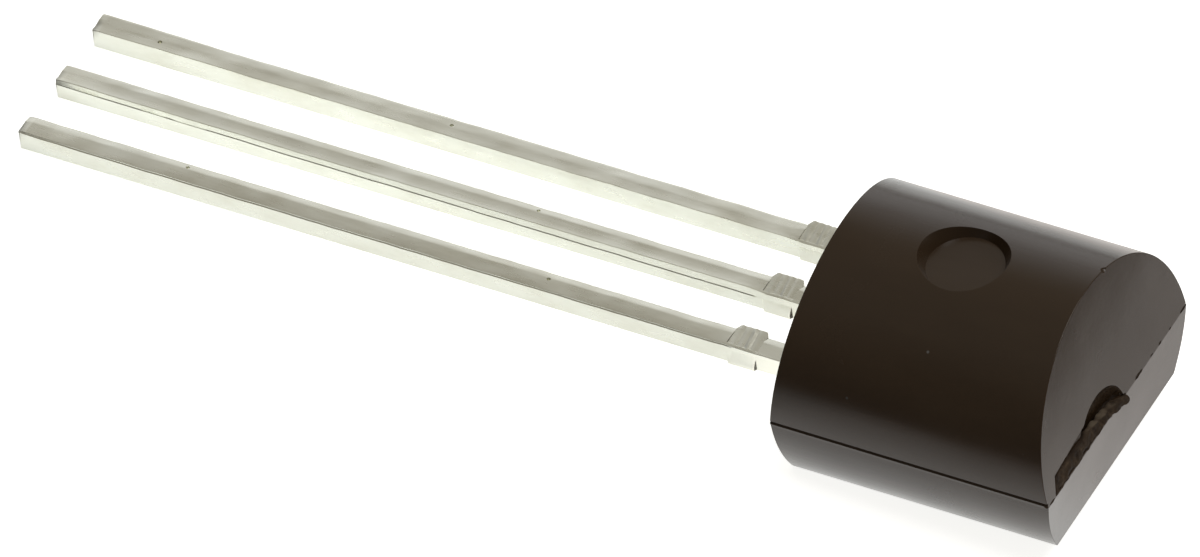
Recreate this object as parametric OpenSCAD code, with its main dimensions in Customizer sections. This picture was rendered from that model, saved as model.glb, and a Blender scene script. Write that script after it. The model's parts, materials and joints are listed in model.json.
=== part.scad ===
// Three-lead voltage regulator in a half-round moulded case, lying on its flat.
// Origin: middle of the flat. +Z up to the round crown, +X to the plain end, leads along -X.

/* [Case] */
// Diameter of the round side, across the parting line
case_d = 4.96; // [4.5:0.02:5.2]
// Length of the case along the leads, at the parting line
case_l = 5.05; // [4.4:0.05:5.3]
// Height of the parting line above the flat
parting_h = 1.32; // [1.1:0.02:1.6]
// Draft of the upper half's two end faces, in degrees
upper_draft = 7.5; // [3:0.5:10]
// Draft of the lower half's plain end face, in degrees
lower_draft = 7; // [2:0.5:10]
// Draft of the lower half's end face under the leads, in degrees
lead_end_draft = 3; // [1:0.5:8]
// How far the lower half's round sides are set in from the upper half's at the parting line
parting_step = 0.03; // [0.01:0.01:0.06]

/* [Ejector mark] */
// Diameter of the round ejector pin mark in the crown
mark_d = 1.55; // [1:0.05:2]
// Depth of the mark's flat floor below the crown
mark_depth = 0.25; // [0.2:0.01:0.4]

/* [Gate scar] */
// Radius of the half-round recess round the mould gate, in the plain end
gate_r = 0.75; // [0.5:0.05:0.9]
// Place of the recess across the leads, from the middle of the case
gate_y = -0.42; // [-0.8:0.02:0.6]
// How far the middle of the recess's arc lies below the parting line
gate_drop = 0.12; // [0.05:0.01:0.2]
// Depth of the recess behind the plain end's edge
gate_depth = 0.3; // [0.2:0.02:0.5]
// Width of the torn film of moulding compound along the parting line
tear_w = 2.45; // [1.6:0.05:2.6]
// Height of the torn film above the parting line
tear_t = 0.34; // [0.2:0.02:0.4]
// Height of the unbroken edge left under the torn film
tear_foot = 0.03; // [0.02:0.01:0.08]
// Depth of the torn film's upper edge behind the plain end's edge
tear_depth = 0.14; // [0.08:0.01:0.2]

/* [Leads] */
// Distance between the middles of neighbouring leads
lead_pitch = 1.27; // [1.14:0.01:1.4]
// Width of a lead
lead_w = 0.44; // [0.36:0.01:0.56]
// Thickness of the lead frame
lead_t = 0.38; // [0.33:0.01:0.51]
// Length of the leads outside the case
lead_l = 14.4; // [5:0.1:20]
// Radius of a lead's upper edges, rolled over by the punch
edge_roll = 0.07; // [0.03:0.01:0.1]
// Length of the roll-over at a lead's cut tip
tip_roll_l = 0.26; // [0.1:0.02:0.4]
// Drop of the roll-over at a lead's cut tip
tip_roll_h = 0.06; // [0.02:0.01:0.1]

/* [Dambar stubs] */
// Distance of the dambar stub from the case
stub_gap = 0.7; // [0.4:0.05:1.2]
// Length of the dambar stub along the lead
stub_l = 0.6; // [0.3:0.05:1]
// How far the stub stands out from each edge of the lead
stub_out = 0.09; // [0.04:0.01:0.15]

/* [Frame inside the case] */
// Depth of the paddle's near edge inside the case
paddle_in = 1.85; // [1.6:0.05:2]
// Length of the chip paddle along the leads
paddle_l = 1.9; // [1.6:0.05:2]
// Width of the chip paddle
paddle_w = 1.6; // [1.4:0.05:1.7]
// Gap between the paddle and the bond posts beside it
post_gap = 0.22; // [0.15:0.01:0.3]
// Width of a bond post
post_w = 0.85; // [0.7:0.05:0.95]
// Length of a bond post along the lead
post_l = 1.1; // [0.8:0.05:1.3]
// Depth of a bond post's near edge inside the case
post_in = 1.1; // [0.9:0.05:1.3]
// Radius of the half-round notches that lock a lead in the moulding
lock_r = 0.09; // [0.05:0.01:0.12]
// Depth of the lock notches inside the case
lock_in = 0.6; // [0.45:0.05:0.75]

/* [Chip] */
// Side of the square chip
die_w = 1.05; // [0.8:0.05:1.1]
// Thickness of the chip
die_t = 0.25; // [0.2:0.01:0.35]
// Thickness of the layer that bonds the chip to the paddle
attach_t = 0.025; // [0.015:0.005:0.05]
// How far the bonding layer shows round the chip
attach_rim = 0.06; // [0.02:0.01:0.1]
// Gap between the chip and the paddle's far edge
die_edge = 0.25; // [0.15:0.01:0.3]

/* [Bond wires] */
// Diameter of the bond wires
wire_d = 0.038; // [0.025:0.001:0.05]
// Rise of a wire's loop above the chip
loop_h = 0.28; // [0.2:0.01:0.4]
// Diameter of the pressed ball on the chip
ball_d = 0.1; // [0.08:0.005:0.12]
// Height of the pressed ball
ball_h = 0.06; // [0.055:0.005:0.08]
// Distance of the chip's pads from its edges
pad_in = 0.12; // [0.09:0.01:0.2]
// Diameter of the pressed stitch on the frame
stitch_d = 0.13; // [0.1:0.005:0.15]
// Height of the pressed stitch
stitch_h = 0.055; // [0.055:0.005:0.07]
// Distance of the ground stitch from the paddle's near edge
ground_stitch_in = 0.2; // [0.15:0.01:0.25]

/* [Hidden] */
$fn = 96;
// A cutter reaches this far past the surface that it opens
past = 0.5;

plain_x = case_l / 2;
lead_x = -case_l / 2;
tip_x = lead_x - lead_l;
crown_z = parting_h + case_d / 2;
frame_top = parting_h + lead_t;
die_base = frame_top + attach_t;
die_top = die_base + die_t;

paddle_x = lead_x + paddle_in;
post_x = lead_x + post_in;
post_y = paddle_w / 2 + post_gap;
die_x = paddle_x + paddle_l - die_edge - die_w / 2;
pad_off = die_w / 2 - pad_in;

// Spreads a drawing in Y and Z along X, from one x to another
module along_x(from, to) {
    translate([from, 0, 0])
        rotate([90, 0, 90])
            linear_extrude(to - from)
                children();
}

// Spreads a drawing in X and Z along Y, from one y to another
module along_y(from, to) {
    translate([0, to, 0])
        rotate([90, 0, 0])
            linear_extrude(to - from)
                children();
}

// Half of the case above the parting line: a half round between two drafted ends
module upper_half() {
    draft_in = tan(upper_draft) * case_d / 2;
    intersection() {
        along_x(lead_x, plain_x)
            translate([0, parting_h])
                circle(d = case_d);
        along_y(-case_d, case_d)
            polygon([
                [lead_x, parting_h],
                [plain_x, parting_h],
                [plain_x - draft_in, crown_z],
                [lead_x + draft_in, crown_z]
            ]);
    }
}

// Half of the case below the parting line, a little smaller, cut off by the flat
module lower_half() {
    intersection() {
        along_x(lead_x, plain_x)
            translate([0, parting_h])
                circle(d = case_d - 2 * parting_step);
        along_y(-case_d, case_d)
            polygon([
                [lead_x, parting_h],
                [plain_x, parting_h],
                [plain_x - tan(lower_draft) * parting_h, 0],
                [lead_x + tan(lead_end_draft) * parting_h, 0]
            ]);
    }
}

// Round mark of the ejector pin, with a flat floor
module ejector_mark() {
    translate([0, 0, crown_z - mark_depth])
        cylinder(d = mark_d, h = mark_depth + past);
}

// Scar of the mould gate: a half-round recess over the sloping torn edge of the film
module gate_scar() {
    half_chord = sqrt(gate_r * gate_r - gate_drop * gate_drop);
    recess_left = gate_y - half_chord;
    recess_right = gate_y + half_chord;
    tear_left = recess_right - tear_w;
    translate([0, 0, parting_h]) {
        along_x(plain_x - gate_depth, plain_x + past)
            intersection() {
                translate([gate_y, -gate_drop])
                    circle(r = gate_r);
                polygon([
                    [recess_left, tear_t],
                    [recess_right, tear_foot],
                    [recess_right, gate_r],
                    [recess_left, gate_r]
                ]);
            }
        intersection() {
            along_x(plain_x - gate_depth, plain_x + past)
                polygon([
                    [tear_left, tear_foot],
                    [recess_right, tear_foot],
                    [recess_left, tear_t],
                    [tear_left, tear_t]
                ]);
            along_y(tear_left, recess_right)
                polygon([
                    [plain_x, tear_foot],
                    [plain_x + past, tear_foot],
                    [plain_x + past, tear_t],
                    [plain_x - tear_depth, tear_t]
                ]);
        }
    }
}

module moulded_case() {
    color([0.17, 0.14, 0.12])
        difference() {
            union() {
                upper_half();
                lower_half();
            }
            ejector_mark();
            gate_scar();
            output_lead();
            ground_lead();
            input_lead();
            die_attach();
            regulator_die();
            output_bond_wire();
            ground_bond_wire();
            input_bond_wire();
        }
}

// Section of a stamped lead: square below, rolled over at its upper edges
module lead_section(w) {
    translate([-w / 2, 0])
        square([w, lead_t - edge_roll]);
    translate([edge_roll - w / 2, 0])
        square([w - 2 * edge_roll, lead_t]);
    for (side = [-1, 1])
        translate([side * (w / 2 - edge_roll), lead_t - edge_roll])
            circle(r = edge_roll);
}

// What the shear's roll-over takes from the upper edge of a lead's tip
module tip_roll() {
    roll_r = (tip_roll_l * tip_roll_l + tip_roll_h * tip_roll_h) / (2 * tip_roll_h);
    along_y(-lead_w, lead_w)
        difference() {
            translate([tip_x - past, lead_t - tip_roll_h])
                square([tip_roll_l + past, tip_roll_h + past]);
            translate([tip_x + tip_roll_l, lead_t - roll_r])
                circle(r = roll_r);
        }
}

// Outer length of a lead, from its cut tip past the dambar stub to a depth inside the case
module lead_bar(depth) {
    stub_x = lead_x - stub_gap - stub_l;
    difference() {
        along_x(tip_x, lead_x + depth)
            lead_section(lead_w);
        tip_roll();
        for (side = [-1, 1])
            translate([lead_x + lock_in, side * lead_w / 2, -past])
                cylinder(r = lock_r, h = lead_t + 2 * past);
    }
    along_x(stub_x, stub_x + stub_l)
        lead_section(lead_w + 2 * stub_out);
}

// Outer lead on one side of the middle, ending in its bond post
module outer_lead(side) {
    color([0.75, 0.74, 0.68])
        translate([0, 0, parting_h]) {
            translate([0, side * lead_pitch, 0])
                lead_bar(post_in + post_l);
            translate([post_x, side * (post_y + post_w / 2) - post_w / 2, 0])
                cube([post_l, post_w, lead_t]);
        }
}

module output_lead() {
    outer_lead(-1);
}

module input_lead() {
    outer_lead(1);
}

module ground_lead() {
    color([0.75, 0.74, 0.68])
        translate([0, 0, parting_h]) {
            lead_bar(paddle_in + paddle_l / 2);
            translate([paddle_x, -paddle_w / 2, 0])
                cube([paddle_l, paddle_w, lead_t]);
        }
}

module die_attach() {
    attach_w = die_w + 2 * attach_rim;
    color([0.62, 0.62, 0.6])
        translate([die_x - attach_w / 2, -attach_w / 2, frame_top])
            cube([attach_w, attach_w, attach_t]);
}

module regulator_die() {
    color([0.35, 0.37, 0.42])
        translate([die_x - die_w / 2, -die_w / 2, die_base])
            cube([die_w, die_w, die_t]);
}

// A bond wire: a pressed ball on the chip, one round loop, and a pressed stitch on the frame.
// The loop's circle passes through the middles of ball and stitch and tops out loop_h above the ball.
module bond_wire(pad, stitch) {
    span = norm(stitch - pad);
    drop = die_top + ball_h / 2 - frame_top - stitch_h / 2;
    slope = drop / loop_h;
    centre_run = (sqrt(span * span + slope * (span * span + drop * drop + drop * loop_h)) - span) / slope;
    centre_rise = (loop_h * loop_h - centre_run * centre_run) / (2 * loop_h);
    loop_r = loop_h - centre_rise;
    ball_angle = atan2(-centre_rise, -centre_run);
    stitch_angle = atan2(-drop - centre_rise, span - centre_run);
    sweep = (ball_angle - stitch_angle + 360) % 360;
    color([0.85, 0.65, 0.3]) {
        translate([pad.x, pad.y, die_top])
            cylinder(d = ball_d, h = ball_h);
        translate([stitch.x, stitch.y, frame_top])
            cylinder(d = stitch_d, h = stitch_h);
        translate([pad.x, pad.y, die_top + ball_h / 2])
            rotate([90, 0, atan2(stitch.y - pad.y, stitch.x - pad.x)])
                translate([centre_run, centre_rise, 0])
                    rotate([0, 0, stitch_angle])
                        rotate_extrude(angle = sweep)
                            translate([loop_r, 0])
                                circle(d = wire_d);
    }
}

// Wire from the chip's corner pad to the middle of the bond post on one side
module post_wire(side) {
    bond_wire(
        [die_x - pad_off, side * pad_off],
        [post_x + post_l / 2, side * (post_y + post_w / 2)]
    );
}

module output_bond_wire() {
    post_wire(-1);
}

module input_bond_wire() {
    post_wire(1);
}

module ground_bond_wire() {
    bond_wire([die_x - pad_off, 0], [paddle_x + ground_stitch_in, 0]);
}

moulded_case();
output_lead();
ground_lead();
input_lead();
regulator_die();
die_attach();
output_bond_wire();
ground_bond_wire();
input_bond_wire();
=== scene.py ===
# %% [markdown]
# # A three-lead voltage regulator
# The part is a chip sealed in a half-round block of dark epoxy, with three tinned leads. The imported CAD
# model comes first, as a fixed frame: most sizes below are read from it, so the dressed pieces land where
# the solids are.

# %% Load the frame and read its sizes
import json
import math

import bmesh
import bpy
from mathutils import Matrix, Vector


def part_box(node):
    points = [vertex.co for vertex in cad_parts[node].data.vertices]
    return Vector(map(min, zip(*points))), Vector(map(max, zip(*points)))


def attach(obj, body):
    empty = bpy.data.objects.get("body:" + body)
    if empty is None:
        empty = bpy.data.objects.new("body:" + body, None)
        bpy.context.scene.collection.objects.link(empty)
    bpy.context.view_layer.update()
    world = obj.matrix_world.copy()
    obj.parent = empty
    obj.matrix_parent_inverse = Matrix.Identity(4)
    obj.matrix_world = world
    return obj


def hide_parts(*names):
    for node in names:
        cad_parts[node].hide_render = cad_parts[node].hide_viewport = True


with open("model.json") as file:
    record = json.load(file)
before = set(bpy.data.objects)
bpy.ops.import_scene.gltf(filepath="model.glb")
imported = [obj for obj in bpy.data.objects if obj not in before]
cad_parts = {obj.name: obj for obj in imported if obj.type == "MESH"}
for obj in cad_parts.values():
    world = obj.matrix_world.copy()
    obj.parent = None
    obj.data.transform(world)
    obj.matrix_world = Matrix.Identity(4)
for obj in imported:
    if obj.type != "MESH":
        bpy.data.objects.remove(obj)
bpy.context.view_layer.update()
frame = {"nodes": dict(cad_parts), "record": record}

BENCH = 1000.0


def node_box(node):
    """Lowest and highest corner of a CAD node, in millimetres."""
    low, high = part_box(node)
    return low * BENCH, high * BENCH


case_low, case_high = node_box("moulded_case")
case_radius = (case_high.y - case_low.y) / 2
plain_end, lead_end = case_high.x, case_low.x
crown = case_high.z
parting = crown - case_radius
print(f"case radius {case_radius:.3f} mm, parting line at {parting:.3f} mm, crown at {crown:.3f} mm")

# %% [markdown]
# ## The camera
# The photograph was taken from a long way off through a long lens, so its edges stay almost parallel.
# Azimuth, elevation and roll were found by laying the part's own corners over the picture, 1200 pixels
# wide. A camera turned by hand would do as well, but three angles and a distance say more to the next
# reader.

# %% Place the camera
VIEW_AZIMUTH = math.radians(33.51)
VIEW_ELEVATION = math.radians(44.77)
VIEW_ROLL = math.radians(-8.27)
VIEW_DISTANCE = 403.4
VIEW_AIM = Vector((-6.52, -0.74, 1.5))
SENSOR_WIDTH = 36.0
FOCAL_PIXELS = 24865.5
PICTURE_WIDTH = 1200

camera_data = bpy.data.cameras.new("camera")
camera_data.sensor_width = SENSOR_WIDTH
camera_data.lens = FOCAL_PIXELS / PICTURE_WIDTH * SENSOR_WIDTH
camera = bpy.data.objects.new("camera", camera_data)
bpy.context.collection.objects.link(camera)
camera_turn = (
    Matrix.Rotation(VIEW_AZIMUTH, 4, "Z")
    @ Matrix.Rotation(math.pi / 2 - VIEW_ELEVATION, 4, "X")
    @ Matrix.Rotation(VIEW_ROLL, 4, "Z")
)
towards_camera = camera_turn @ Vector((0, 0, 1))
camera.matrix_world = Matrix.Translation((VIEW_AIM + towards_camera * VIEW_DISTANCE) / BENCH) @ camera_turn
bpy.context.scene.camera = camera
print(f"camera lens {camera_data.lens:.0f} mm, {VIEW_DISTANCE:.0f} mm away")

# %% [markdown]
# ## Helpers for the bench
# Blender's edit-mode tools have small built-in tolerances that would swallow details of a hundredth of a
# millimetre. So the pieces are modelled a thousand times life size, one unit to the millimetre, and
# shrunk when they are done. Selections are made in code, by place or by normal. Places closer than SAME
# count as one.

# %% Select and edit
SAME = 1e-4
SLICE_TOLERANCE = 1e-5


def let_go():
    """Leave edit mode and select nothing."""
    if bpy.context.mode != "OBJECT":
        bpy.ops.object.mode_set(mode="OBJECT")
    bpy.ops.object.select_all(action="DESELECT")


def hold(piece):
    """Make one object the only selected and active one."""
    let_go()
    piece.select_set(True)
    bpy.context.view_layer.objects.active = piece


def edit(piece):
    """Open one object in edit mode with all of it selected."""
    hold(piece)
    bpy.ops.object.mode_set(mode="EDIT")
    bpy.ops.mesh.select_all(action="SELECT")


def pick(piece, kind, test):
    """In edit mode, select only the vertices, edges or faces that pass a test, and count them."""
    bpy.ops.mesh.select_mode(type=kind)
    bpy.ops.mesh.select_all(action="DESELECT")
    mesh = bmesh.from_edit_mesh(piece.data)
    items = {"VERT": mesh.verts, "EDGE": mesh.edges, "FACE": mesh.faces}[kind]
    found = [item for item in items if test(item)]
    for item in found:
        item.select_set(True)
    bmesh.update_edit_mesh(piece.data)
    return len(found)


def middle(edge):
    """Middle of an edge."""
    return (edge.verts[0].co + edge.verts[1].co) / 2


def cut(point, normal):
    """Slice the open mesh by a plane, throw away the side that the normal points to, and close the cut."""
    bpy.ops.mesh.select_all(action="SELECT")
    bpy.ops.mesh.bisect(
        plane_co=point, plane_no=normal, use_fill=True, clear_outer=True, threshold=SLICE_TOLERANCE
    )


def score(point, normal):
    """Draw a line of edges round the open mesh where a plane crosses it."""
    bpy.ops.mesh.select_all(action="SELECT")
    bpy.ops.mesh.bisect(plane_co=point, plane_no=normal, threshold=SLICE_TOLERANCE)


# %% Start, carve and finish a piece
SMOOTH_ANGLE = math.radians(28)


def block(low, high):
    """A box between two corners."""
    let_go()
    bpy.ops.mesh.primitive_cube_add(size=1, location=(Vector(low) + Vector(high)) / 2)
    piece = bpy.context.object
    piece.scale = Vector(high) - Vector(low)
    bpy.ops.object.transform_apply(location=True, rotation=True, scale=True)
    return piece


def rod(radius, low, high, axis="X", sides=96):
    """A round rod along X or Z, from the middle of one end to the middle of the other."""
    low, high = Vector(low), Vector(high)
    tip_over = (0, math.pi / 2, 0) if axis == "X" else (0, 0, 0)
    let_go()
    bpy.ops.mesh.primitive_cylinder_add(
        vertices=sides, radius=radius, depth=(high - low).length,
        location=(low + high) / 2, rotation=tip_over,
    )
    bpy.ops.object.transform_apply(location=True, rotation=True, scale=True)
    return bpy.context.object


def apply(piece, kind, **settings):
    """Add one modifier and apply it."""
    hold(piece)
    modifier = piece.modifiers.new(kind.lower(), kind)
    for key, value in settings.items():
        setattr(modifier, key, value)
    bpy.ops.object.modifier_apply(modifier=modifier.name)


def carve(piece, tool, operation="DIFFERENCE"):
    """Cut a tool out of a piece, or join it on, and throw the tool away."""
    apply(piece, "BOOLEAN", operation=operation, solver="EXACT", object=tool)
    bpy.data.objects.remove(tool)


def finish_piece(piece, name, node):
    """Shade a piece, shrink it to life size, and put it in the place of its CAD node."""
    hold(piece)
    bpy.ops.object.shade_smooth_by_angle(angle=SMOOTH_ANGLE)
    apply(piece, "WEIGHTED_NORMAL", weight=100, keep_sharp=True)
    piece.scale = (1 / BENCH,) * 3
    bpy.ops.object.transform_apply(location=True, rotation=True, scale=True)
    piece.name = piece.data.name = name
    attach(piece, "root")
    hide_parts(node)
    print(f"{name}: {len(piece.data.vertices)} vertices, {len(piece.data.polygons)} faces")


# %% [markdown]
# ## Moulding compound
# The case is epoxy filled with silica, a brown-black plastic with a satin skin taken from the polished
# mould. Its colour drifts a little, and its skin has a very fine grain and faint lapping lines along the
# case. All of this can come from noise on the object's own coordinates, so nothing slides when the camera
# moves. A thin coat stands for the wax that frees the case from the mould. It brightens the surface where
# it is seen at a slant. Two specks of dust on the round are spots in the same material, lighter within a
# set distance of a point.

# %% Node helpers
def new_material(name):
    """A material, its shader, and its object coordinates."""
    material = bpy.data.materials.new(name)
    material.use_nodes = True
    nodes = material.node_tree.nodes
    place = nodes.new("ShaderNodeTexCoord")
    return material, nodes["Principled BSDF"], place.outputs["Object"]


def wire(material, source, target):
    """Join two sockets."""
    material.node_tree.links.new(source, target)


def noise(material, place, size, stretch=(1, 1, 1), detail=4.0, rough=0.55):
    """Noise with features of about this many millimetres, longer where stretch is below one."""
    nodes = material.node_tree.nodes
    mapping = nodes.new("ShaderNodeMapping")
    mapping.inputs["Scale"].default_value = [BENCH / size * s for s in stretch]
    wire(material, place, mapping.inputs["Vector"])
    texture = nodes.new("ShaderNodeTexNoise")
    texture.inputs["Scale"].default_value = 1.0
    texture.inputs["Detail"].default_value = detail
    texture.inputs["Roughness"].default_value = rough
    wire(material, mapping.outputs["Vector"], texture.inputs["Vector"])
    return texture.outputs["Fac"]


def spread(material, value, *stops):
    """Turn a value into a colour by a ramp of (position, colour) stops."""
    ramp = material.node_tree.nodes.new("ShaderNodeValToRGB")
    elements = ramp.color_ramp.elements
    while len(elements) < len(stops):
        elements.new(0.5)
    for element, (position, colour) in zip(elements, stops):
        element.position = position
        element.color = (*colour, 1.0)
    wire(material, value, ramp.inputs["Fac"])
    return ramp.outputs["Color"]


def blend(material, factor, first, second):
    """A colour from a socket that turns into a set colour as the factor grows."""
    mix = material.node_tree.nodes.new("ShaderNodeMix")
    mix.data_type = "RGBA"
    wire(material, factor, mix.inputs["Factor"])
    wire(material, first, mix.inputs["A"])
    mix.inputs["B"].default_value = (*second, 1)
    return mix.outputs["Result"]


def between(material, value, low, high):
    """A number that runs from 0 to 1 while a value runs between two places, given in millimetres."""
    node = material.node_tree.nodes.new("ShaderNodeMapRange")
    node.inputs["From Min"].default_value = low / BENCH
    node.inputs["From Max"].default_value = high / BENCH
    wire(material, value, node.inputs["Value"])
    return node.outputs["Result"]


def grey(level):
    """A grey for a ramp that carries a number."""
    return (level,) * 3


def bump(material, height, depth, under=None):
    """Bump of so many millimetres, laid over another bump if there is one."""
    node = material.node_tree.nodes.new("ShaderNodeBump")
    node.inputs["Strength"].default_value = 1.0
    node.inputs["Distance"].default_value = depth / BENCH
    wire(material, height, node.inputs["Height"])
    if under is not None:
        wire(material, under, node.inputs["Normal"])
    return node.outputs["Normal"]


# %% Mix the compound
DUST = (((0.121, -1.645, 3.176), 0.11), ((-1.112, -2.293, 2.264), 0.06))
DUST_SIZE = 0.032
DUST_CORE = 0.4
DUST_TINT = (1.0, 0.94, 0.88)
EPOXY_DARK = (0.032, 0.0185, 0.0095)
EPOXY_LIGHT = (0.042, 0.0255, 0.0140)


def dusted(material, place, colour):
    """The same colour with a pale speck at each dusty point."""
    for point, level in DUST:
        away = material.node_tree.nodes.new("ShaderNodeVectorMath")
        away.operation = "DISTANCE"
        away.inputs[1].default_value = [c / BENCH for c in point]
        wire(material, place, away.inputs[0])
        speck = between(material, away.outputs["Value"], DUST_SIZE, DUST_CORE * DUST_SIZE)
        colour = blend(material, speck, colour, [level * tint for tint in DUST_TINT])
    return colour


def epoxy_skin():
    """The satin skin of the moulding, with its drift of colour, grain, lapping lines and dust."""
    material, shader, place = new_material("epoxy_skin")
    drift = noise(material, place, 1.6, stretch=(0.35, 1, 1), detail=3)
    colour = spread(material, drift, (0.3, EPOXY_DARK), (0.7, EPOXY_LIGHT))
    wire(material, dusted(material, place, colour), shader.inputs["Base Color"])
    sheen = spread(material, noise(material, place, 0.9, detail=5), (0.3, grey(0.18)), (0.75, grey(0.30)))
    wire(material, sheen, shader.inputs["Roughness"])
    grain = bump(material, noise(material, place, 0.03, detail=3), depth=0.0006)
    lines = noise(material, place, 0.12, stretch=(0.06, 1, 1), detail=2)
    lapping = bump(material, lines, depth=0.0008, under=grain)
    flow = bump(material, noise(material, place, 1.4, detail=1), depth=0.012, under=lapping)
    wire(material, flow, shader.inputs["Normal"])
    shader.inputs["IOR"].default_value = 1.2
    shader.inputs["Coat Weight"].default_value = 0.6
    shader.inputs["Coat Roughness"].default_value = 0.2
    shader.inputs["Coat IOR"].default_value = 1.5
    wire(material, flow, shader.inputs["Coat Normal"])
    return material


epoxy = epoxy_skin()
print("made", epoxy.name)

# %% [markdown]
# Where the mould gate was snapped off, the broken epoxy is rough and dull, because the fracture runs
# round the grains of filler. The raised upper edge of the torn film catches the light, and this is painted:
# the film is paler above a slanting line, a painted highlight. The thread of flash along the ridge has the
# same dull face, and above the same line only a dull colour, with no painted highlight.

# %% The torn face of the compound
FILM_SLOPE = -0.183
FILM_EDGE = 0.053
EDGE_FADE = (-0.005, 0.02)
TORN_STOPS = ((0.35, (0.020, 0.012, 0.007)), (0.55, (0.044, 0.028, 0.016)), (0.72, (0.095, 0.066, 0.041)))
# Painted highlight for the torn film's upper edge, and the flash's own dull colour above the same line.
FILM_PAINTED_HIGHLIGHT = (0.10, 0.076, 0.052)
FLASH_DULL = (0.026, 0.017, 0.011)


def torn_compound(name, above_line_colour):
    """Broken epoxy, with another colour above the slanting line: a painted highlight on the film's edge."""
    material, shader, place = new_material(name)
    flecks = noise(material, place, 0.2, detail=6, rough=0.7)
    height = material.node_tree.nodes.new("ShaderNodeVectorMath")
    height.operation = "DOT_PRODUCT"
    height.inputs[1].default_value = (0, -FILM_SLOPE, 1)
    wire(material, place, height.inputs[0])
    low, high = (parting + FILM_EDGE + fade for fade in EDGE_FADE)
    edge = between(material, height.outputs["Value"], low, high)
    # Above the slanting line: a painted highlight on the film, a plain dull colour on the flash.
    colour = blend(material, edge, spread(material, flecks, *TORN_STOPS), above_line_colour)
    wire(material, colour, shader.inputs["Base Color"])
    crumbs = bump(material, noise(material, place, 0.06, detail=5, rough=0.65), depth=0.012)
    wire(material, crumbs, shader.inputs["Normal"])
    shader.inputs["Roughness"].default_value = 0.8
    shader.inputs["IOR"].default_value = 1.3
    return material


torn_epoxy = torn_compound("torn_compound", FILM_PAINTED_HIGHLIGHT)
flash_epoxy = torn_compound("flash_compound", FLASH_DULL)
print("made", torn_epoxy.name, "and", flash_epoxy.name)

# %% [markdown]
# ## The case
# A moulded half-round: a round bar is cut by the flat, and by four drafted planes that lean in from the
# parting line at both ends. Cutting one cylinder by planes gives the true ridge at each end for nothing.
# The lower half is a hair narrower, as where two mould halves don't quite meet.

# %% Cut the round bar
UPPER_DRAFT = math.radians(7.5)
LOWER_DRAFT = math.radians(7)
LEAD_END_DRAFT = math.radians(3)
PARTING_STEP = 0.01
RIDGE_SHIFT = 0.01
ROUND_SIDES = 192

case = rod(case_radius, (lead_end, 0, parting), (plain_end + RIDGE_SHIFT, 0, parting), sides=ROUND_SIDES)
edit(case)
cut((0, 0, 0), (0, 0, -1))
cut((plain_end, 0, parting), (math.cos(UPPER_DRAFT), 0, math.sin(UPPER_DRAFT)))
cut((plain_end + RIDGE_SHIFT, 0, parting), (math.cos(LOWER_DRAFT), 0, -math.sin(LOWER_DRAFT)))
cut((lead_end, 0, parting), (-math.cos(UPPER_DRAFT), 0, math.sin(UPPER_DRAFT)))
cut((lead_end, 0, parting), (-math.cos(LEAD_END_DRAFT), 0, -math.sin(LEAD_END_DRAFT)))
score((0, 0, parting), (0, 0, 1))
below = pick(case, "VERT", lambda v: v.co.z < parting - PARTING_STEP)
bpy.ops.transform.resize(value=(1, 1 - PARTING_STEP / case_radius, 1), center_override=(0, 0, parting))
print("vertices below the parting line:", below)

# %% [markdown]
# The edges to round are the sharp ones: both rims, the ridge at each end and the edges of the flat. The
# seam along the sides stays crisp, because that is where the mould opened.

# %% Round the outer edges
EDGE_RADIUS = 0.04
SEAM_BAND = 0.02
SHARP_ANGLE = math.radians(12)


def outer_edge(edge):
    """True for a sharp edge that isn't the parting seam along a side."""
    at = middle(edge)
    along_side = abs(at.z - parting) < SEAM_BAND and abs(at.y) > case_radius - SEAM_BAND
    return edge.calc_face_angle(0) > SHARP_ANGLE and not along_side


print("edges rounded:", pick(case, "EDGE", outer_edge))
bpy.ops.mesh.bevel(offset=EDGE_RADIUS, segments=3, profile=0.5, clamp_overlap=True)
hold(case)
for finish in (epoxy, torn_epoxy, flash_epoxy):
    case.data.materials.append(finish)

# %% [markdown]
# The parting line shows as a dark line along both sides. A line could be drawn in the material, but a
# real groove stays dark from every side. The edge of the lower half is worn to a slope, so the blade that
# cuts the groove has an almost level upper face and a lower face that leans. On the far side, where the
# outline stays whole in the photograph, the groove is only a scratch. Each row gives a side, the depth of
# the groove, and the lower and upper limit of the blade.

# %% Groove the parting line
GROOVES = ((-1, 0.04, -0.055, 0.06), (1, 0.03, -0.015, 0.02))
BLADE_OUT = 0.05
BLADE_PAST = 1.0
BLADE_TIP = 0.03
BLADE_RISE = 0.85

for side, depth, low_z, high_z in GROOVES:
    low_y, high_y = sorted((side * (case_radius - depth), side * (case_radius + BLADE_OUT)))
    blade = block(
        (lead_end - BLADE_PAST, low_y, parting + low_z - BLADE_OUT),
        (plain_end + BLADE_PAST, high_y, parting + high_z),
    )
    edit(blade)
    pick(blade, "VERT", lambda v: abs(v.co.y) < case_radius)
    bpy.ops.transform.resize(value=(1, 1, BLADE_TIP), center_override=(0, 0, parting + high_z * BLADE_RISE))
    carve(case, blade)
print("grooves cut:", len(case.data.polygons), "faces now")

# %% [markdown]
# The ejector pin pushed the case out of the mould and left a round mark in the crown, with a flat floor
# and a wall that leans outwards. It is cut with a rod that is drawn in towards its lower end.

# %% Cut the ejector mark
MARK_RADIUS = 0.775
MARK_DEPTH = 0.25
MARK_LEAN = math.radians(27)
PIN_PAST = 1.0

mark_floor = crown - MARK_DEPTH
pin_top = crown + PIN_PAST
pin = rod(MARK_RADIUS, (0, 0, mark_floor), (0, 0, pin_top), axis="Z")
edit(pin)
for height in (mark_floor, pin_top):
    pick(pin, "VERT", lambda v: abs(v.co.z - height) < SAME)
    share = 1 + (height - crown) * math.tan(MARK_LEAN) / MARK_RADIUS
    bpy.ops.transform.resize(value=(share, share, 1), center_override=(0, 0, height))
carve(case, pin)
print("ejector mark cut:", len(case.data.polygons), "faces now")

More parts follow.
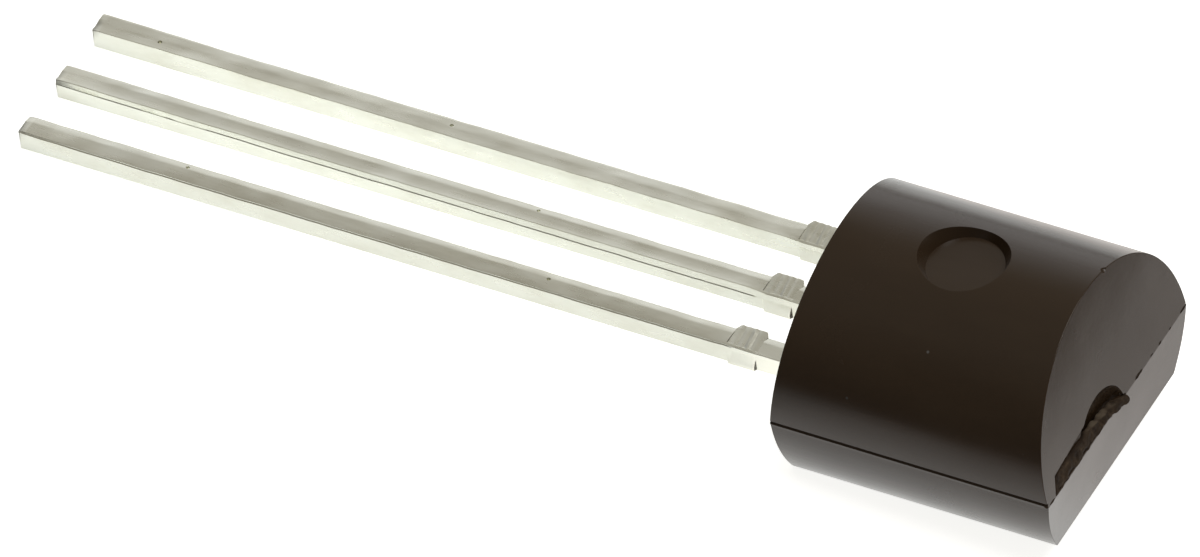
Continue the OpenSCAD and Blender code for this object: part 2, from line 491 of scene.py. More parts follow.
# %% [markdown]
# The compound entered the mould through a gate at the plain end. The gate left a half-round recess above
# the ridge, with walls that curve softly into its floor. It is a rod cut out from the end, drawn in ring
# by ring. Each ring has its place from the end of the case and its radius.

# %% Cut the gate recess
GATE_RADIUS = 0.63
GATE_WIDEN = 1.06
GATE_Y = -0.50
GATE_SILL = 0.02
GATE_RINGS = (
    (-0.19, 0.30), (-0.18, 0.40), (-0.155, 0.49), (-0.12, 0.56), (-0.08, 0.615), (0.0, 0.69), (0.5, 1.1),
)

gate_places = [plain_end + place for place, radius in GATE_RINGS]
recess = rod(GATE_RADIUS, (gate_places[0], GATE_Y, parting), (gate_places[-1], GATE_Y, parting))
edit(recess)
for place in gate_places[1:-1]:
    score((place, 0, 0), (1, 0, 0))
for place, radius in GATE_RINGS:
    pick(recess, "VERT", lambda v: abs(v.co.x - plain_end - place) < SAME)
    share = radius / GATE_RADIUS
    bpy.ops.transform.resize(value=(1, share * GATE_WIDEN, share), center_override=(0, GATE_Y, parting))
cut((0, 0, parting + GATE_SILL), (0, 0, -1))
carve(case, recess)
print("gate recess cut:", len(case.data.polygons), "faces now")

# %% [markdown]
# Beside and under the recess the gate's film was torn off along the ridge, which left a shallow trough.
# It is cut out with a block that has the outline of the tear, given as points across the end face from
# the far foot to the near one, and a leaning floor. The film below is made of such blocks too.

# %% Tear the trough
TROUGH_OUTLINE = ((0.34, -0.03), (0.12, 0.10), (-0.95, 0.44), (-2.08, 0.34), (-2.20, -0.03))
TROUGH_LOW = -0.02
TROUGH_FRONT = 0.2
TROUGH_BACK = 0.035
TROUGH_LEAN = 0.24
TEAR_NEAR, TEAR_FAR = -2.3, 0.6
TEAR_BACK, TEAR_OUT = 0.14, 0.3
TEAR_HIGH = 0.6
TEAR_LEAN = 0.26


def tear_block(outline, low_z, front):
    """A block cut to an outline on the end face, with a level foot and a front that leans back."""
    piece = block(
        (plain_end - TEAR_BACK, TEAR_NEAR, parting + low_z),
        (plain_end + TEAR_OUT, TEAR_FAR, parting + TEAR_HIGH),
    )
    edit(piece)
    for (y1, z1), (y2, z2) in zip(outline, outline[1:]):
        cut((0, y1, parting + z1), (0, z2 - z1, y1 - y2))
    cut((plain_end + front, 0, parting), (1, 0, TEAR_LEAN))
    return piece


trough = tear_block(TROUGH_OUTLINE, TROUGH_LOW, TROUGH_FRONT)
edit(trough)
cut((plain_end - TROUGH_BACK, 0, parting), (-1, 0, -TROUGH_LEAN))
carve(case, trough)
print("trough torn:", len(case.data.polygons), "faces now")

# %% [markdown]
# Where the tear crosses the recess, a thin wall of film still stands, and its lip hangs out a little over
# the lower face. Along the rest of the ridge runs a thread of flash, the compound that crept between the
# mould halves. The film and its lip are blocks cut to their outlines, and the thread is a thin bar.

# %% Shape the film and the flash
FILM_OUTLINE = ((0.34, -0.03), (0.25, -0.005), (-0.95, 0.215), (-2.08, 0.26), (-2.18, -0.02))
FILM_LOW = 0.015
FILM_FRONT = 0.02
LIP_OUTLINE = ((-0.50, 0.03), (0.32, -0.16), (0.28, -0.01), (-0.50, 0.10))
LIP_LOW = -0.3
LIP_FRONT = 0.045
FLASH_LOW, FLASH_HIGH = -0.045, -0.004
FLASH_BACK = 0.07
FLASH_FRONT = -0.001
FLASH_PAST = 0.01

film = tear_block(FILM_OUTLINE, FILM_LOW, FILM_FRONT)
lip = tear_block(LIP_OUTLINE, LIP_LOW, LIP_FRONT)
edit(lip)
cut((0, LIP_OUTLINE[0][0], 0), (0, -1, 0))
hold(film)
lip.select_set(True)
bpy.ops.object.join()
flash = block(
    (plain_end - FLASH_BACK, -case_radius, parting + FLASH_LOW),
    (plain_end + RIDGE_SHIFT + FLASH_FRONT, case_radius + FLASH_PAST, parting + FLASH_HIGH),
)
print("film:", len(film.data.polygons), "faces, flash:", len(flash.data.polygons), "faces")

# %% [markdown]
# Broken epoxy is ragged. Both pieces are remeshed fine and pushed about by a cloud texture, so that the
# broken edges are real geometry, and remeshed again, so that nothing is left folded over itself.

# %% Crumble them and join them to the case
CRUMB_SIZE = 0.14
FIRST_VOXEL, LAST_VOXEL = 0.02, 0.016
FILM_CRUMBLE = 0.07
FLASH_CRUMBLE = 0.075

crumbs = bpy.data.textures.new("crumbs", "CLOUDS")
crumbs.noise_scale = CRUMB_SIZE
crumbs.noise_depth = 3


def crumble_on(piece, strength, finish):
    """Make a piece ragged, give it one of the case's finishes and join it to the case."""
    apply(piece, "REMESH", mode="VOXEL", voxel_size=FIRST_VOXEL)
    apply(piece, "DISPLACE", texture=crumbs, strength=strength, mid_level=0.5, texture_coords="LOCAL")
    apply(piece, "REMESH", mode="VOXEL", voxel_size=LAST_VOXEL)
    for material in case.data.materials:
        piece.data.materials.append(material)
    for face in piece.data.polygons:
        face.material_index = case.data.materials.find(finish.name)
    carve(case, piece, "UNION")


crumble_on(film, FILM_CRUMBLE, torn_epoxy)
crumble_on(flash, FLASH_CRUMBLE, flash_epoxy)
print("film and flash joined on:", len(case.data.polygons), "faces now")

# %% [markdown]
# A small chip is missing from the rim beside the crown. It is bitten out with a ball. The case is then
# done.

# %% Chip the rim
CHIP_RADIUS = 0.08
CHIP_Y = 0.62
CHIP_OUT = 0.02

chip_z = parting + math.sqrt(case_radius**2 - CHIP_Y**2)
chip_x = plain_end - math.tan(UPPER_DRAFT) * (chip_z - parting)
let_go()
bpy.ops.mesh.primitive_ico_sphere_add(
    subdivisions=2, radius=CHIP_RADIUS, location=(chip_x + CHIP_OUT, CHIP_Y, chip_z + CHIP_OUT)
)
chip = bpy.context.object
bpy.ops.object.transform_apply(location=True, rotation=True, scale=True)
chip.data.materials.append(epoxy)
carve(case, chip)
print("chip bitten out:", len(case.data.polygons), "faces now")

finish_piece(case, "epoxy_case", "moulded_case")

# %% [markdown]
# ## Tin plate
# The leads are stamped from copper strip and dipped in tin. Tin is a pale, slightly yellow grey, drawn
# along the lead by the rollers and dulled by handling.

# %% Plate the leads
TIN_STOPS = ((0.25, (0.75, 0.740, 0.635)), (0.5, (0.84, 0.840, 0.745)), (0.8, (0.89, 0.898, 0.815)))


def tin_plate():
    """Tin with smudges, fine lines along the lead and a slight ripple."""
    material, shader, place = new_material("tin_plate")
    smudge = noise(material, place, 0.5, stretch=(0.4, 1, 1), detail=5, rough=0.6)
    wire(material, spread(material, smudge, *TIN_STOPS), shader.inputs["Base Color"])
    handled = noise(material, place, 0.2, stretch=(0.3, 1, 1), detail=4)
    sheen = spread(material, handled, (0.3, grey(0.24)), (0.75, grey(0.38)))
    wire(material, sheen, shader.inputs["Roughness"])
    drawn = bump(material, noise(material, place, 0.05, stretch=(0.05, 1, 1), detail=3), depth=0.0009)
    waves = noise(material, place, 0.18, stretch=(0.6, 1, 1), detail=3)
    wire(material, bump(material, waves, depth=0.0022, under=drawn), shader.inputs["Normal"])
    shader.inputs["Metallic"].default_value = 1.0
    return material


tin = tin_plate()
print("made", tin.name)

# %% [markdown]
# ## The leads
# Each lead is a stamped bar with a broad roll along one upper edge, where the punch came through, and
# small roundings along the others. All three are alike outside the case, so one is modelled and copied.

# %% Start one lead from a bar
LEADS = ("output_lead", "ground_lead", "input_lead")
LEAD_WIDTH = 0.44
POST_IN = 1.1

tips = {mount["name"]: Vector(mount["pos_m"]) * BENCH for mount in frame["record"]["mounts"]}
lead_tip = tips["ground_lead_tip"].x
ground_low, ground_high = node_box("ground_lead")
lead_bottom, lead_top = ground_low.z, ground_high.z
near, far = -LEAD_WIDTH / 2, LEAD_WIDTH / 2
inner_end = lead_end + POST_IN

lead = block((lead_tip, near, lead_bottom), (inner_end, far, lead_top))
lead.data.materials.append(tin)
print(f"lead {lead_end - lead_tip:.1f} mm long outside the case")

# %% Roll the far upper edge and round the others
LEVEL_LINE = -0.085
ROLL = ((0.05, 0.0), (0.09, 0.005), (0.13, 0.013), (0.175, 0.023), (far, 0.034))
NEAR_ROUND, FAR_ROUND, LOWER_ROUND = 0.012, 0.03, 0.015

edit(lead)
roll_lines = [y for y, drop in ROLL]
for y in (LEVEL_LINE, *roll_lines[:-1]):
    score((0, y, 0), (0, 1, 0))
for y, drop in ROLL:
    pick(lead, "VERT", lambda v: abs(v.co.y - y) < SAME and v.co.z > lead_top - SAME)
    bpy.ops.transform.translate(value=(0, 0, -drop))


def round_long_edge(y, z, radius, segments):
    """Round the edges that run along the lead at this place in its section."""
    pick(lead, "EDGE", lambda e: all(abs(v.co.y - y) < SAME and abs(v.co.z - z) < SAME for v in e.verts))
    bpy.ops.mesh.bevel(offset=radius, segments=segments, clamp_overlap=True)


far_edge_drop = ROLL[-1][1]
round_long_edge(near, lead_top, NEAR_ROUND, 2)
round_long_edge(far, lead_top - far_edge_drop, FAR_ROUND, 3)
round_long_edge(near, lead_bottom, LOWER_ROUND, 2)
round_long_edge(far, lead_bottom, LOWER_ROUND, 2)
print(f"far upper edge rolled down by {far_edge_drop} mm")

# %% [markdown]
# The shear that cut the leads to length rolled the end of each one over. The very end drops along a
# curve, drawn by a few cross lines that are each pushed down a little.

# %% Roll over the cut tip
TIP_ROLL_LENGTH = 0.15
TIP_ROLL_DROP = 0.028
TIP_STEPS = 4
UPPER_HALF = 0.2

for step in range(1, TIP_STEPS + 1):
    score((lead_tip + TIP_ROLL_LENGTH * step / TIP_STEPS, 0, 0), (1, 0, 0))
for step in range(TIP_STEPS):
    line = lead_tip + TIP_ROLL_LENGTH * step / TIP_STEPS
    pick(lead, "VERT", lambda v: abs(v.co.x - line) < SAME and v.co.z > lead_top - UPPER_HALF)
    bpy.ops.transform.translate(value=(0, 0, -TIP_ROLL_DROP * (1 - step / TIP_STEPS) ** 2))
print(f"tip rolled down by {TIP_ROLL_DROP} mm")

# %% [markdown]
# The upright corners of the tip are rounded too, the near one more. Three slices take each corner off
# along an arc.

# %% Round the corners of the tip
TIP_CORNERS = ((1, 0.025), (-1, 0.045))
SLICE_TURNS = (22.5, 45, 67.5)

for side, radius in TIP_CORNERS:
    centre = Vector((lead_tip + radius, side * (LEAD_WIDTH / 2 - radius), 0))
    for turn in SLICE_TURNS:
        outward = Vector((-math.cos(math.radians(turn)), side * math.sin(math.radians(turn)), 0))
        cut(centre + outward * radius, outward)
print("tip corners rounded:", len(TIP_CORNERS))

# %% [markdown]
# For the waves in the tin the bar needs lines all along. Its long edges are cut into short ones.

# %% Divide the bar along its length
LINE_SPACING = 0.07
LONG_EDGE = 1.0


def along(edge):
    """Length of an edge along the lead."""
    return abs(edge.verts[0].co.x - edge.verts[1].co.x)


print("edges divided:", pick(lead, "EDGE", lambda e: along(e) > LONG_EDGE))
bpy.ops.mesh.subdivide(number_cuts=round((inner_end - lead_tip) / LINE_SPACING))

# %% [markdown]
# Near the case each lead keeps the stubs of the dambar, the strip that joined the leads until the case
# was moulded. The trimming punch pressed the lead flat there, left a few cross marks, and smeared the
# near stub into a wedge. The punch's print is cut out first, and then the stub is joined on just above
# the print's floor.

# %% Press the lead flat
STUB_GAP = 0.72
STUB_LENGTH = 0.58
PRESS_DEPTH = 0.014
PRESS_INSET, PRESS_PAST = 0.03, 0.3
PRESS_SLOPE = 0.05
PRESS_DRAW = 0.92

stub_start = lead_end - STUB_GAP - STUB_LENGTH
stub_end = stub_start + STUB_LENGTH
stub_middle = stub_start + STUB_LENGTH / 2
press = block(
    (stub_start, near + PRESS_INSET, lead_top - PRESS_DEPTH),
    (stub_end, far + PRESS_PAST, lead_top + PRESS_DEPTH),
)
edit(press)
pick(press, "VERT", lambda v: v.co.y < 0 and v.co.z < lead_top)
bpy.ops.transform.translate(value=(0, PRESS_SLOPE, 0))
pick(press, "VERT", lambda v: v.co.z < lead_top)
bpy.ops.transform.resize(value=(PRESS_DRAW, 1, 1), center_override=(stub_middle, 0, 0))
carve(lead, press)
print("lead with the punch's print:", len(lead.data.polygons), "faces")

# %% Add the dambar stub
STUB_OUT_NEAR, STUB_OUT_FAR = 0.05, 0.09
STUB_LIFT, STUB_SINK = 0.004, 0.011
STUB_TAPER = 0.82
STUB_FOLDS = (near + 0.03, far - 0.02)
STUB_ROUND = 0.015
STUB_CORNER = math.radians(30)
WEDGE_DROP = 0.28
WEDGE_BAND = 0.1

stub = block(
    (stub_start, near - STUB_OUT_NEAR, lead_bottom + STUB_LIFT),
    (stub_end, far + STUB_OUT_FAR, lead_top - STUB_SINK),
)
stub.data.materials.append(tin)
edit(stub)
for fold in STUB_FOLDS:
    score((0, fold, 0), (0, 1, 0))
pick(stub, "VERT", lambda v: abs(v.co.y) > far)
bpy.ops.transform.resize(value=(STUB_TAPER, 1, 1), center_override=(stub_middle, 0, 0))
pick(stub, "VERT", lambda v: v.co.y < near and v.co.z > lead_top - WEDGE_BAND)
bpy.ops.transform.translate(value=(0, 0, -WEDGE_DROP))
pick(stub, "EDGE", lambda e: e.calc_face_angle(0) > STUB_CORNER)
bpy.ops.mesh.bevel(offset=STUB_ROUND, segments=2, clamp_overlap=True)
print(f"stub {STUB_LENGTH} mm long, {STUB_GAP} mm from the case")

# %% [markdown]
# The punch's marks are low ridges across the stub, a little aslant. Each has three lines, and its middle
# line is lifted. The marks are given as places along the stub, from -1 to 1, and heights.

# %% Mark the stub and join it on
PUNCH_MARKS = ((-0.6, 0.012), (-0.15, 0.009), (0.25, 0.013), (0.65, 0.010))
PUNCH_MARK_WIDTH = 0.19
PUNCH_MARK_SLANT = 0.1
PUNCH_MARK_BAND = 0.05

half_stub = STUB_LENGTH / 2
for place, height in PUNCH_MARKS:
    for step in (-1, 0, 1):
        line = stub_middle + (place + PUNCH_MARK_WIDTH * step) * half_stub
        score((line, 0, 0), (1, PUNCH_MARK_SLANT, 0))


def on_mark(v, line):
    """True for a vertex of the stub's top on a slanting line."""
    on_line = abs(v.co.x + PUNCH_MARK_SLANT * v.co.y - line) < 10 * SAME
    return on_line and v.co.z > lead_top - PUNCH_MARK_BAND


for place, height in PUNCH_MARKS:
    pick(stub, "VERT", lambda v: on_mark(v, stub_middle + place * half_stub))
    bpy.ops.transform.translate(value=(0, 0, height))
carve(lead, stub, "UNION")
print("lead with its stub:", len(lead.data.polygons), "faces")

# %% [markdown]
# Inside the case a half-round notch in each edge locks the lead in the moulding. Nothing shows it there,
# but a lead on the bench would have it. Two upright rods bite the notches out.

# %% Notch the lead
LOCK_RADIUS = 0.09
LOCK_IN = 0.6
LOCK_PAST = 0.1

for side in (near, far):
    low = Vector((lead_end + LOCK_IN, side, lead_bottom - LOCK_PAST))
    high = Vector((lead_end + LOCK_IN, side, lead_top + LOCK_PAST))
    punch = rod(LOCK_RADIUS, low, high, axis="Z", sides=24)
    punch.data.materials.append(tin)
    carve(lead, punch)
print("lead with its notches:", len(lead.data.polygons), "faces")

# %% [markdown]
# ## Three leads from one
# No two leads came off the punch quite alike. The fine ledge along the near side, where the sheared band
# ends, lies higher or lower, and their tops tilt differently. So each copy moves to its row and gets its
# own ledge: how far it lies below the top at the tip, how it slants along the lead, its height and depth,
# and how the band above it leans. Each copy gets its own tilt of the near edge too, and its own width and
# depth of the far roll.

# %% Copy a lead to its row
def copy_lead(node):
    """A copy of the lead in its row, with its own mesh."""
    hold(lead)
    bpy.ops.object.duplicate(linked=False)
    copy = bpy.context.object
    edit(copy)
    bpy.ops.transform.translate(value=(0, tips[node + "_tip"].y, 0))
    return copy


print("leads to copy:", ", ".join(LEADS))

# %% Set its ledge and its top
LEDGES = {
    "output_lead": (0.016, 0.0, 0.014, 0.018, 0.0),
    "ground_lead": (0.073, 0.0045, 0.015, 0.011, 0.012),
    "input_lead": (0.11, 0.0, 0.014, 0.005, 0.004),
}
TOPS = {
    "output_lead": (-0.006, 1.0, 1.0),
    "ground_lead": (0.014, 1.0, 1.0),
    "input_lead": (0.011, 1.35, 0.75),
}
LEDGE_STOP, TILT_STOP = 0.02, 0.05
SIDE_BAND = 0.06
TOP_EDGE_BAND = 0.05
ROLL_START = 0.03
ROLL_BAND = 0.09


def on_near_side(v, row, stop):
    """True for a vertex of the near side that lies further out than a stop before the stub."""
    return v.co.x < stub_start - stop and v.co.y < row + near + SIDE_BAND


def on_roll(v, row, limit):
    """True for a vertex of the far roll that lies further out than a limit."""
    return v.co.x < limit and v.co.y > row + ROLL_START and v.co.z > lead_top - ROLL_BAND


def add_ledge(copy, row, drop, slant, height, depth, lean):
    """Set back the upper band of the near side, which the punch sheared smooth, behind a fine ledge."""
    score((lead_tip, 0, lead_top - drop), (slant, 0, 1))
    score((lead_tip, 0, lead_top - drop - height), (slant, 0, 1))

    def above_ledge(v):
        """True for a vertex of the near side in the upper band."""
        line = lead_top - drop - slant * (v.co.x - lead_tip)
        return on_near_side(v, row, LEDGE_STOP) and v.co.z > line - SAME

    pick(copy, "VERT", above_ledge)
    bpy.ops.transform.translate(value=(0, depth, 0))
    pick(copy, "VERT", lambda v: on_near_side(v, row, LEDGE_STOP) and v.co.z > lead_top - TOP_EDGE_BAND)
    bpy.ops.transform.translate(value=(0, lean, 0))


def tilt_top(copy, row, lift, widen, deepen):
    """Lift the near upper edge of a lead by so much, and widen and deepen its far roll."""
    pick(copy, "VERT", lambda v: on_near_side(v, row, TILT_STOP) and v.co.z > lead_top - TOP_EDGE_BAND)
    bpy.ops.transform.translate(value=(0, 0, lift))
    pick(copy, "VERT", lambda v: on_roll(v, row, stub_start - TILT_STOP))
    bpy.ops.transform.resize(value=(1, widen, deepen), center_override=(0, row + far, lead_top))


# %% [markdown]
# The shear that cut the leads to length left the tops of the tips flatter and a little aslant. Both come
# on gradually, so they are done in small steps, each on a shorter stretch of the lead.

# %% Flatten and twist a tip
TWISTS = {"output_lead": 6.0, "ground_lead": 3.0, "input_lead": 0.0}
TWIST_LENGTH = 2.4
TWIST_STEPS = 12
TWIST_BAND = 0.12
TIP_FLATTEN = 0.35


def twist_tip(copy, row, angle):
    """Flatten the roll towards the tip and tilt the top there, a little at each of several lines."""
    lines = [lead_tip + TWIST_LENGTH * (1 - step / TWIST_STEPS) for step in range(TWIST_STEPS)]
    flatten = TIP_FLATTEN ** (1 / TWIST_STEPS)
    centre = (0, row, lead_top)
    for line in lines:
        pick(copy, "VERT", lambda v: on_roll(v, row, line))
        bpy.ops.transform.resize(value=(1, 1, flatten), center_override=centre)
    for line in lines:
        pick(copy, "VERT", lambda v: v.co.x < line and v.co.z > lead_top - TWIST_BAND)
        bpy.ops.transform.rotate(value=angle / TWIST_STEPS, orient_axis="X", center_override=centre)


# %% [markdown]
# Inside the case the outer leads end in a bond post beside the chip, and the middle one in the paddle
# that carries the chip. The inner end is drawn out of the bar's end by extruding it, widening it and
# extruding again. The plate is a hair thinner than the bar, so that its step is a real face.

# %% Draw out an inner end
POST_WIDTH = 0.85
PADDLE_IN = 1.85
PLATE_THINNING = 0.98


def draw_out(copy, row, depth, end_x, low_y, high_y):
    """Move the bar's inner end to a depth in the case, and widen it into a plate that ends at end_x."""
    step_x = lead_end + depth
    pick(copy, "VERT", lambda v: v.co.x > inner_end - SAME)
    bpy.ops.transform.translate(value=(step_x - inner_end, 0, 0))
    pick(copy, "FACE", lambda f: f.normal.x > 0.9 and f.calc_center_median().x > step_x - SAME)
    bpy.ops.mesh.extrude_region_move(TRANSFORM_OT_translate={"value": (0, 0, 0)})
    bpy.ops.transform.resize(
        value=(1, (high_y - low_y) / LEAD_WIDTH, PLATE_THINNING),
        center_override=(0, row, (lead_bottom + lead_top) / 2),
    )
    bpy.ops.transform.translate(value=(0, (low_y + high_y) / 2 - row, 0))
    bpy.ops.mesh.extrude_region_move(TRANSFORM_OT_translate={"value": (end_x - step_x, 0, 0)})


# %% [markdown]
# Dipped tin is never quite level. Two cloud textures, one broad and one fine, push the top into slight
# waves, and because the texture stays put, each lead gets waves of its own. A few pits are cut with small
# tapered rods, each at a distance from the case and an offset from the middle of the lead.

# %% Wave the tin and pit it
WAVE_SPAN, WAVE_HEIGHT = 0.55, 0.030
DENT_SPAN, DENT_HEIGHT = 0.16, 0.008
WAVE_BAND = 0.16
PITS = {
    "input_lead": ((13.20, -0.04), (7.80, 0.05)),
    "ground_lead": ((5.55, 0.11),),
    "output_lead": ((11.39, 0.11), (4.66, 0.04)),
}
PIT_RADIUS = 0.06
PIT_DEPTH = 0.06
PIT_PAST = 0.1
PIT_FLOOR = 0.35

waves = bpy.data.textures.new("waves", "CLOUDS")
waves.noise_scale = WAVE_SPAN
waves.noise_depth = 2
dents = bpy.data.textures.new("dents", "CLOUDS")
dents.noise_scale = DENT_SPAN
dents.noise_depth = 1


def wave_top(copy):
    """Push the top of the lead into slight waves, different on each lead."""
    edit(copy)
    pick(copy, "VERT", lambda v: v.co.z > lead_top - WAVE_BAND)
    bpy.ops.object.vertex_group_assign_new()
    hold(copy)
    group = copy.vertex_groups[0].name
    for texture, height in ((waves, WAVE_HEIGHT), (dents, DENT_HEIGHT)):
        apply(
            copy, "DISPLACE", texture=texture, strength=height, mid_level=0.5, direction="Z",
            texture_coords="LOCAL", vertex_group=group,
        )


def add_pit(copy, row, distance, offset):
    """Cut a small pit into the top of a lead, at a distance from the case."""
    place = Vector((lead_end - distance, row + offset, lead_top))
    low, high = place - Vector((0, 0, PIT_DEPTH)), place + Vector((0, 0, PIT_PAST))
    tool = rod(PIT_RADIUS, low, high, axis="Z", sides=14)
    edit(tool)
    pick(tool, "VERT", lambda v: v.co.z < lead_top)
    bpy.ops.transform.resize(value=(PIT_FLOOR, PIT_FLOOR, 1), center_override=place)
    tool.data.materials.append(tin)
    carve(copy, tool)


# %% [markdown]
# Now the helpers run on each lead in turn: copy, ledge, tilt, twist, inner end, waves and pits. The bar
# that was copied is thrown away.

# %% Make the three leads
for node in LEADS:
    low, high = node_box(node)
    row = tips[node + "_tip"].y
    copy = copy_lead(node)
    add_ledge(copy, row, *LEDGES[node])
    tilt_top(copy, row, *TOPS[node])
    twist_tip(copy, row, math.radians(TWISTS[node]))
    if node == "ground_lead":
        draw_out(copy, row, PADDLE_IN, high.x, low.y, high.y)
    elif node == "output_lead":
        draw_out(copy, row, POST_IN, high.x, low.y, low.y + POST_WIDTH)
    else:
        draw_out(copy, row, POST_IN, high.x, high.y - POST_WIDTH, high.y)
    wave_top(copy)
    for distance, offset in PITS[node]:
        add_pit(copy, row, distance, offset)
    finish_piece(copy, "tinned_" + node, node)
bpy.data.objects.remove(lead)

# %% [markdown]
# ## Inside the case
# The chip, its glue and its three wires keep their CAD shapes, because nothing shows them but a cut
# through the case. They still get true finishes: polished silicon with a faint mottle, glue full of
# silver flakes, and drawn gold wire.

# %% Finish the hidden pieces
def inner_finish(name, size, dark, light, roughness, metal):
    """A fine two-tone finish for a hidden piece."""
    material, shader, place = new_material(name)
    grains = noise(material, place, size, detail=3)
    wire(material, spread(material, grains, (0.35, dark), (0.65, light)), shader.inputs["Base Color"])
    wire(material, bump(material, grains, size / 20), shader.inputs["Normal"])
    shader.inputs["Roughness"].default_value = roughness
    shader.inputs["Metallic"].default_value = metal
    return material


silicon = inner_finish("polished_silicon", 0.08, (0.05, 0.055, 0.07), (0.16, 0.16, 0.20), 0.15, 0.6)
glue = inner_finish("silver_glue", 0.03, (0.40, 0.39, 0.37), (0.72, 0.71, 0.68), 0.45, 0.8)
gold = inner_finish("drawn_gold", 0.02, (0.72, 0.50, 0.16), (0.90, 0.66, 0.26), 0.25, 1.0)
HIDDEN = {
    "regulator_die": silicon, "die_attach": glue,
    "output_bond_wire": gold, "ground_bond_wire": gold, "input_bond_wire": gold,
}
for node, finish in HIDDEN.items():
    inner = frame["nodes"][node]
    for holder in inner.material_slots:
        holder.link = "OBJECT"
        holder.material = finish
    print(node, "finished,", len(inner.material_slots), "slot")

# %% [markdown]
# ## The stage
# A white table and a white room. The part tips onto the ends of its leads, so the table is the plane
# through the lower edge of the lead end and the three tips.

# %% Lay the table
TABLE_SIZE = 2.0

rest_edge = Vector((lead_end + math.tan(LEAD_END_DRAFT) * parting, 0, 0))
table_tilt = math.atan2(lead_bottom, rest_edge.x - lead_tip)
let_go()
bpy.ops.mesh.primitive_plane_add(size=TABLE_SIZE, location=rest_edge / BENCH, rotation=(0, table_tilt, 0))
table = bpy.context.object
table.name = table.data.name = "table"
print(f"table tilted by {math.degrees(table_tilt):.2f} degrees")

# %% [markdown]
# The table glows a little where the camera looks at it, so that it comes out white without flooding the
# part with light. Its plain white surface still takes the part's soft shadow. Where a reflection looks at
# it, the glow is a painted reflection set by place: strongest along the near side of the case, dying away
# towards the camera, and fading past the plain end and past the tips of the leads. This painted glow is
# warm where it is weak, and a little cool beside the leads. In reflections the table's own white is also
# darkened far out towards the camera and past both ends, a painted shade. Places on the table are in
# millimetres from the middle of the edge that the part rests on.

# %% Set how the table glows
# Painted reflection: levels of the glow that reflections see, by place across the table.
CASE_GLOW = (
    (-60, 0.0), (-12, 0.0), (-5, 0.7), (-4, 0.84), (-3.2, 0.9), (-2.5, 1.0), (-1.5, 1.0), (0, 0.62),
    (2, 0.33), (4, 0.28), (7, 0.50), (10, 0.62), (60, 0.58),
)
OUTER_LEAD_GLOW, INNER_LEAD_GLOW = 0.50, 0.58
BESIDE_CASE = (-2.1, -0.9)
AMONG_LEADS = (-1.9, -1.3)
GLOW_REACH = (-12, -4)
PAST_PLAIN_END = (8.1, 8.6)
PAST_TIPS = (-14.6, -14.85)
OUTWARD_LOSS = 0.8


def join(material, operation, first, second):
    """One number from two, each a socket or a plain number."""
    node = material.node_tree.nodes.new("ShaderNodeMath")
    node.operation = operation
    for socket, value in zip(node.inputs, (first, second)):
        if isinstance(value, (int, float)):
            socket.default_value = value
        else:
            wire(material, value, socket)
    return node.outputs[0]


# The glow that reflections see is a painted reflection, shaped by place.
def table_glow(material, x, y):
    """The glow that a reflection sees, how near the case it is, and what is left of it far out."""
    first, last = CASE_GLOW[0][0], CASE_GLOW[-1][0]
    stops = [((place - first) / (last - first), grey(level)) for place, level in CASE_GLOW]
    case_glow = spread(material, between(material, y, first, last), *stops)
    gain = join(material, "MULTIPLY", between(material, y, *AMONG_LEADS), INNER_LEAD_GLOW - OUTER_LEAD_GLOW)
    reach = between(material, y, *GLOW_REACH)
    lead_glow = join(material, "MULTIPLY", reach, join(material, "ADD", gain, OUTER_LEAD_GLOW))
    by_case = between(material, x, *BESIDE_CASE)
    more = join(material, "MULTIPLY", by_case, join(material, "SUBTRACT", case_glow, lead_glow))
    past_end = between(material, x, *PAST_PLAIN_END)
    past = join(material, "MAXIMUM", past_end, between(material, x, *PAST_TIPS))
    kept = join(material, "SUBTRACT", 1.0, join(material, "MULTIPLY", past, OUTWARD_LOSS))
    glow = join(material, "MULTIPLY", join(material, "ADD", lead_glow, more), kept)
    return glow, by_case, join(material, "MULTIPLY", reach, kept)


# %% Whiten the table
# The table's own white, the painted shade that reflections see far out, and the glow for the camera.
TABLE_WHITE = 0.86
TABLE_PAINTED_SHADE = 0.1
CAMERA_GLOW = 0.86
# Tints of the painted reflection glow: warm where it is weak, a little cool beside the leads.
GLOW_TINT = (
    (0.12, (1.0, 0.80, 0.70)), (0.3, (1.0, 0.89, 0.83)), (0.65, (1.0, 0.95, 0.91)), (1.0, (1.0, 1.0, 0.98)),
)
LEAD_TINT = (0.955, 1.0, 1.0)


def table_white():
    """White that glows for the camera, with a painted reflection glow and painted shade by place for
    reflections.
    """
    material, shader, place = new_material("table_white")
    nodes = material.node_tree.nodes
    path = nodes.new("ShaderNodeLightPath")
    across = nodes.new("ShaderNodeSeparateXYZ")
    wire(material, place, across.inputs["Vector"])
    glow, by_case, left = table_glow(material, across.outputs["X"], across.outputs["Y"])
    looked_at, mirrored = path.outputs["Is Camera Ray"], path.outputs["Is Glossy Ray"]
    case_tint = spread(material, join(material, "MAXIMUM", glow, looked_at), *GLOW_TINT)
    by_leads = join(material, "MULTIPLY", mirrored, join(material, "SUBTRACT", 1.0, by_case))
    wire(material, blend(material, by_leads, case_tint, LEAD_TINT), shader.inputs["Emission Color"])
    seen = join(material, "MULTIPLY", looked_at, CAMERA_GLOW)
    strength = join(material, "ADD", seen, join(material, "MULTIPLY", mirrored, glow))
    wire(material, strength, shader.inputs["Emission Strength"])
    # Painted shade: in reflections the table is darkened far out towards the camera and past both ends.
    painted_shade_share = join(material, "MULTIPLY", mirrored, join(material, "SUBTRACT", 1.0, left))
    shade = spread(material, painted_shade_share, (0.0, grey(TABLE_WHITE)), (1.0, grey(TABLE_PAINTED_SHADE)))
    wire(material, shade, shader.inputs["Base Color"])
    shader.inputs["Roughness"].default_value = 0.9
    shader.inputs["Specular IOR Level"].default_value = 0.0
    return material


table.data.materials.append(table_white())
print("table whitened")

